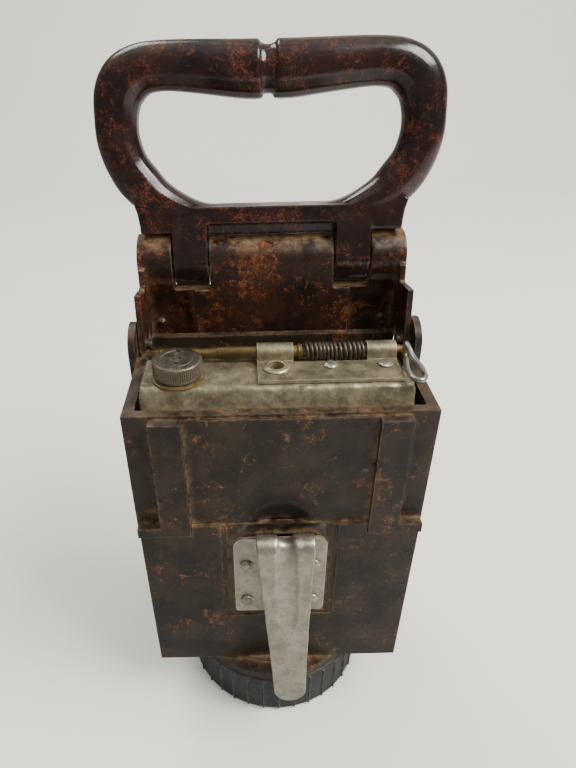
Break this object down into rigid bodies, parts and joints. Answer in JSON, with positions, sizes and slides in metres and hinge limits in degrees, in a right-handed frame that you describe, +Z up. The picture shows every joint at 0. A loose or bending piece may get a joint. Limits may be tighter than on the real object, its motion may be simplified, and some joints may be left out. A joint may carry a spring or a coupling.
{
  "type": "carbide hand lamp",
  "caption": "Carbide lamp with a brown moulded box, tilting lid with carrying loop, lift-out water tank, screw base, hinged window and belt hook.",
  "frame": {"origin": "centre of the base cap's underside", "axes": "+Z up, -Y the side with the belt hook, +Y the side with the light window"},
  "size_m": [0.1294, 0.1122, 0.2575],
  "materials": {
    "bakelite_body": "moulded phenolic, dark brown with rust-red mottle, dulled",
    "bakelite_lid": "moulded phenolic, red-brown mottle, dusty",
    "bakelite_handle": "moulded phenolic, polished by use",
    "black_bakelite": "black moulded phenolic",
    "zinc_sheet": "tarnished zinc sheet",
    "tin_plate": "dull tinned sheet",
    "bright_reflector": "polished sheet",
    "galvanised_steel": "galvanised sheet, stained",
    "bright_wire": "bright drawn wire",
    "old_brass": "tarnished brass",
    "dark_steel": "darkened steel",
    "rivet_aluminium": "dull aluminium",
    "rubber": "old rubber",
    "steatite": "unglazed steatite",
    "window_glass": "clear pane"
  },
  "bodies": {
    "housing": {"upper_housing": "bakelite_body", "lower_housing": "bakelite_body", "lid_pin_left": "dark_steel", "lid_pin_right": "dark_steel", "belt_hook": "galvanised_steel", "hook_rivet_1": "rivet_aluminium", "hook_rivet_2": "rivet_aluminium", "hook_rivet_3": "rivet_aluminium", "hook_rivet_4": "rivet_aluminium", "housing_screw_1": "dark_steel", "housing_screw_2": "dark_steel", "housing_screw_3": "dark_steel", "housing_screw_4": "dark_steel", "generator_gasket": "rubber", "drip_tube": "old_brass", "gas_pipe": "old_brass", "burner_socket": "old_brass", "burner_tip": "steatite", "reflector": "bright_reflector", "door_hinge_pin": "dark_steel", "latch_keeper": "dark_steel"},
    "lid": {"lid": "bakelite_lid", "handle_pin": "dark_steel"},
    "handle": {"handle": "bakelite_handle"},
    "tank": {"water_tank": "zinc_sheet", "tank_bracket": "zinc_sheet", "bracket_rivet_1": "rivet_aluminium", "bracket_rivet_2": "rivet_aluminium", "filler_eyelet": "zinc_sheet", "latch_spring": "dark_steel", "valve_collar": "old_brass"},
    "latch": {"latch_bolt": "old_brass"},
    "ring": {"pull_ring": "bright_wire"},
    "spindle": {"valve_spindle": "old_brass"},
    "knob": {"water_valve_knob": "dark_steel"},
    "container": {"carbide_container": "tin_plate", "container_cover": "tin_plate"},
    "cap": {"base_cap": "black_bakelite", "base_gasket": "rubber", "container_spring": "dark_steel"},
    "door": {"window_door": "bakelite_body", "window_glass": "window_glass", "glass_retainer": "dark_steel", "flap_pin": "dark_steel"},
    "flap": {"blackout_flap": "dark_steel"},
    "turn_button": {"door_latch": "dark_steel"}
  },
  "joints": [
    {"name": "lid_hinge", "type": "hinge", "parent": "housing", "child": "lid", "pos_m": [0, 0.017, 0.1568], "axis": [1, 0, 0], "range_deg": [-5, 98]},
    {"name": "handle_hinge", "type": "hinge", "parent": "lid", "child": "handle", "pos_m": [0, 0.04318, 0.1814], "axis": [-1, 0, 0], "range_deg": [0, 90]},
    {"name": "tank_lift", "type": "slide", "parent": "housing", "child": "tank", "axis": [0, 0, -1], "range_m": [-0.06, 0]},
    {"name": "latch_slide", "type": "slide", "parent": "tank", "child": "latch", "axis": [1, 0, 0], "range_m": [-0.0012, 0.0025], "deforming": ["latch_spring"]},
    {"name": "ring_swing", "type": "hinge", "parent": "latch", "child": "ring", "pos_m": [0.0452, -0.0035, 0.1634], "axis": [0, 0, -1], "range_deg": [-75, 0]},
    {"name": "knob_turn", "type": "hinge", "parent": "tank", "child": "knob", "pos_m": [-0.034, -0.0139, 0.1638], "axis": [0, 0, 1], "range_deg": [0, 330]},
    {"name": "valve_lift", "type": "slide", "parent": "knob", "child": "spindle", "axis": [0, 0, 1], "range_m": [0, 0.0007]},
    {"name": "container_drop", "type": "slide", "parent": "housing", "child": "container", "axis": [0, 0, -1], "range_m": [0, 0.008]},
    {"name": "cap_turn", "type": "hinge", "parent": "container", "child": "cap", "pos_m": [0, 0, 0.01], "axis": [0, 0, -1], "range_deg": [0, 720]},
    {"name": "door_swing", "type": "hinge", "parent": "housing", "child": "door", "pos_m": [0.0362, 0.0304, 0.1271], "axis": [0, 0, -1], "range_deg": [0, 110]},
    {"name": "flap_swing", "type": "hinge", "parent": "door", "child": "flap", "pos_m": [0, 0.0354, 0.1084], "axis": [1, 0, 0], "range_deg": [0, 172]},
    {"name": "button_turn", "type": "hinge", "parent": "housing", "child": "turn_button", "pos_m": [-0.0357, 0.0328, 0.1278], "axis": [0, 1, 0], "range_deg": [-90, 0]}
  ],
  "couplings": [
    {"joint": "valve_lift", "follows": "knob_turn", "m_per_rad": 0.0001},
    {"joint": "container_drop", "follows": "cap_turn", "m_per_rad": 0.00063}
  ]
}
